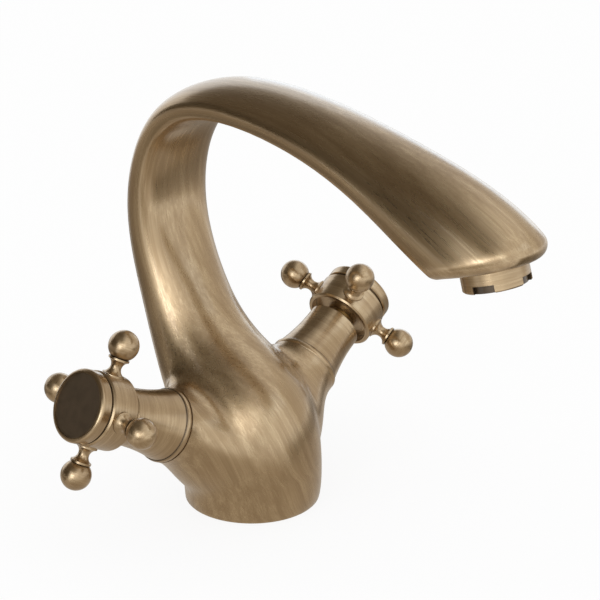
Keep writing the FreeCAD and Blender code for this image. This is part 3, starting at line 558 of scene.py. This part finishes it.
def dress_valve(side):
    axis = valve_axis(side)
    ring_top = PORT_DISTANCE + RING_THICKNESS
    bronze = turned_bronze(f"brushed_bronze_{side}_valve", VALVE_MEET, axis, dark_height=ring_top)
    for name in TURNED_NAMES:
        give(f"{side}_{name}", bronze)
    give(f"{side}_index_disc", DARK_PATINA)
    for name in ARM_NAMES:
        run, centre = arm_axis(side, name)
        give(f"{side}_{name}", turned_bronze(f"brushed_bronze_{side}_{name}", centre, run))
    for name in ("cartridge_housing", "spindle"):
        give(f"{side}_{name}", BRASS)
    for name in ("fixed_ceramic_disc", "moving_ceramic_disc"):
        give(f"{side}_{name}", ALUMINA)
    for name in ("seat_seal", "housing_o_ring", "spindle_o_ring"):
        give(f"{side}_{name}", BLACK_RUBBER)
    for name in ("spindle_clip", "handle_screw"):
        give(f"{side}_{name}", STAINLESS)


def dress_outlet():
    axis = Vector((0.0, math.sin(OUTLET_LEAN), math.cos(OUTLET_LEAN)))
    bronze = turned_bronze("brushed_bronze_aerator", OUTLET, axis, shade_radius=SKIRT_SHADE_RADIUS)
    give("aerator_housing", bronze)
    give("aerator_insert", DARK_ACETAL)
    give("aerator_washer", BLACK_RUBBER)
    give("base_seal", BLACK_RUBBER)


# ---- studio -----------------------------------------------------------------------------
def set_up(made, where, look, front):
    """Link an object at a point, turned so that its front axis looks in a direction."""
    bpy.context.scene.collection.objects.link(made)
    turn = look.to_track_quat(front, "Y")
    made.matrix_world = Matrix.Translation(where) @ turn.to_matrix().to_4x4()


def heading(azimuth, elevation, distance):
    """Offset at angles in degrees; azimuth 0 is in front of the spout, 90 the cold side."""
    a, e = math.radians(azimuth), math.radians(elevation)
    return Vector((math.sin(a) * math.cos(e), -math.cos(a) * math.cos(e), math.sin(e))) * distance


def card_material(name, direction, start, end, first, second):
    """Glow that changes along a direction, or outwards where there is none."""
    material = bpy.data.materials.new(name)
    material.use_nodes = True
    tree = material.node_tree
    tree.nodes.clear()
    position = add(tree, "ShaderNodeNewGeometry").outputs["Position"]
    if direction:
        travel = vector_math(tree, "DOT_PRODUCT", position, direction)
    else:
        travel = vector_math(tree, "LENGTH", position)
    share = mapped(tree, travel, start, end, 0.0, 1.0)
    tones = [
        tuple(level * (channel + (1.0 - channel) * level) for channel in CARD_TINT) + (1.0,)
        for level in (first, second)
    ]
    glow = add(tree, "ShaderNodeEmission", {"Color": mixed(tree, share, *tones), "Strength": 1.0})
    output = add(tree, "ShaderNodeOutputMaterial")
    tree.links.new(glow.outputs[0], output.inputs["Surface"])
    return material


def sheet(name, width, height, centre, facing, material):
    """Flat rectangle that looks towards a point."""
    x, y = width / 2, height / 2
    mesh = bpy.data.meshes.new(name)
    mesh.from_pydata([(-x, -y, 0), (x, -y, 0), (x, y, 0), (-x, y, 0)], [], [(0, 1, 2, 3)])
    mesh.materials.append(material)
    made = bpy.data.objects.new(name, mesh)
    set_up(made, centre, facing - centre, "Z")
    return made


def reflection_only(card):
    """Hide a card from every ray but those of a mirror."""
    card.visible_camera = False
    card.visible_diffuse = False
    card.visible_shadow = False
    card.visible_transmission = False


def seen_directly(tree):
    """1 for a ray from the camera, a mirror or glass, 0 for a ray that carries light."""
    rays = add(tree, "ShaderNodeLightPath").outputs
    seen = maths(tree, "MAXIMUM", rays["Is Camera Ray"], rays["Is Glossy Ray"])
    return maths(tree, "MAXIMUM", seen, rays["Is Transmission Ray"])


def build_floor():
    """Pale floor, nearly plain white where it is seen directly."""
    material, tree, shader = new_material("pale_floor")
    cloud = noise(tree, object_coordinates(tree), FLOOR_CLOUD_SCALE, CLOUD_DETAIL)
    share = mapped(tree, cloud, *GRAIN_RANGE, 0.0, FLOOR_CLOUD_SHARE)
    tree.links.new(mixed(tree, share, FLOOR, WHITE), shader.inputs["Base Color"])
    shader.inputs["Roughness"].default_value = FLOOR_ROUGHNESS
    shader.inputs["Specular IOR Level"].default_value = 0.0
    white = add(tree, "ShaderNodeEmission", {"Color": WHITE, "Strength": 1.0})
    lit = maths(tree, "MULTIPLY", seen_directly(tree), FLOOR_WHITENESS)
    surface = add(tree, "ShaderNodeMixShader", {0: lit, 1: shader.outputs[0], 2: white.outputs[0]})
    tree.links.new(surface.outputs[0], tree.nodes["Material Output"].inputs["Surface"])
    sheet("floor", FLOOR_SIZE, FLOOR_SIZE, Vector((0.0, 0.0, FLOOR_HEIGHT)), UP, material)


def build_cards():
    """Cards that give the metal the darks and lights it mirrors; only mirrors see them."""
    for index, card in enumerate(STANDING_CARDS, 1):
        azimuth, elevation, distance, width, height, level = card
        name = f"card_standing_{index}"
        material = card_material(name, tuple(UP), 0.0, 1.0, level, level)
        where = FOCUS + heading(azimuth, elevation, distance)
        reflection_only(sheet(name, width, height, where, FOCUS, material))
    for index, card in enumerate(FLAT_CARDS, 1):
        x, y, z, width, depth, run, start, end, first, second = card
        name = f"card_flat_{index}"
        material = card_material(name, run, start, end, first, second)
        where = Vector((x, y, z))
        reflection_only(sheet(name, width, depth, where, where + UP, material))


def area_lamp(name, where, width, height, radiance, tint):
    data = bpy.data.lights.new(name, "AREA")
    data.shape = "RECTANGLE"
    data.size = width
    data.size_y = height
    data.energy = radiance * math.pi * width * height
    data.color = tint
    set_up(bpy.data.objects.new(name, data), where, FOCUS - where, "-Z")


def build_lights():
    for index, box in enumerate(SOFTBOXES, 1):
        azimuth, elevation, distance, width, height, radiance, tint = box
        where = FOCUS + heading(azimuth, elevation, distance)
        area_lamp(f"softbox_{index}", where, width, height, radiance, tint)
    world = bpy.data.worlds.new("studio")
    world.use_nodes = True
    tree = world.node_tree
    background = tree.nodes["Background"]
    background.inputs["Color"].default_value = WHITE
    level = mapped(tree, seen_directly(tree), 0.0, 1.0, WORLD_LEVEL, 1.0)
    tree.links.new(level, background.inputs["Strength"])
    bpy.context.scene.world = world


def build_camera():
    data = bpy.data.cameras.new("camera")
    data.sensor_width = CAMERA_SENSOR
    data.lens = CAMERA_LENS
    camera = bpy.data.objects.new("camera", data)
    back = heading(CAMERA_AZIMUTH, CAMERA_ELEVATION, 1.0)
    set_up(camera, CAMERA_TARGET + back * CAMERA_DISTANCE, -back, "-Z")
    bpy.context.scene.camera = camera


DARK_PATINA = machined_metal("dark_patina", DISC_PATINA, roughness=0.42)
BRASS = machined_metal("raw_brass", RAW_BRASS, roughness=0.3)
STAINLESS = machined_metal("stainless_steel", STEEL, roughness=0.25)
ALUMINA = moulded("alumina_ceramic", CERAMIC, roughness=0.25, grain=900.0)
BLACK_RUBBER = moulded("black_rubber", RUBBER, roughness=0.6, grain=1800.0)
DARK_ACETAL = moulded("dark_acetal", ACETAL, roughness=0.45, grain=1500.0)

casting_piece()
for side in SIDES:
    dress_valve(side)
dress_outlet()
build_floor()
build_cards()
build_lights()
build_camera()
bpy.context.scene.view_settings.view_transform = "Standard"
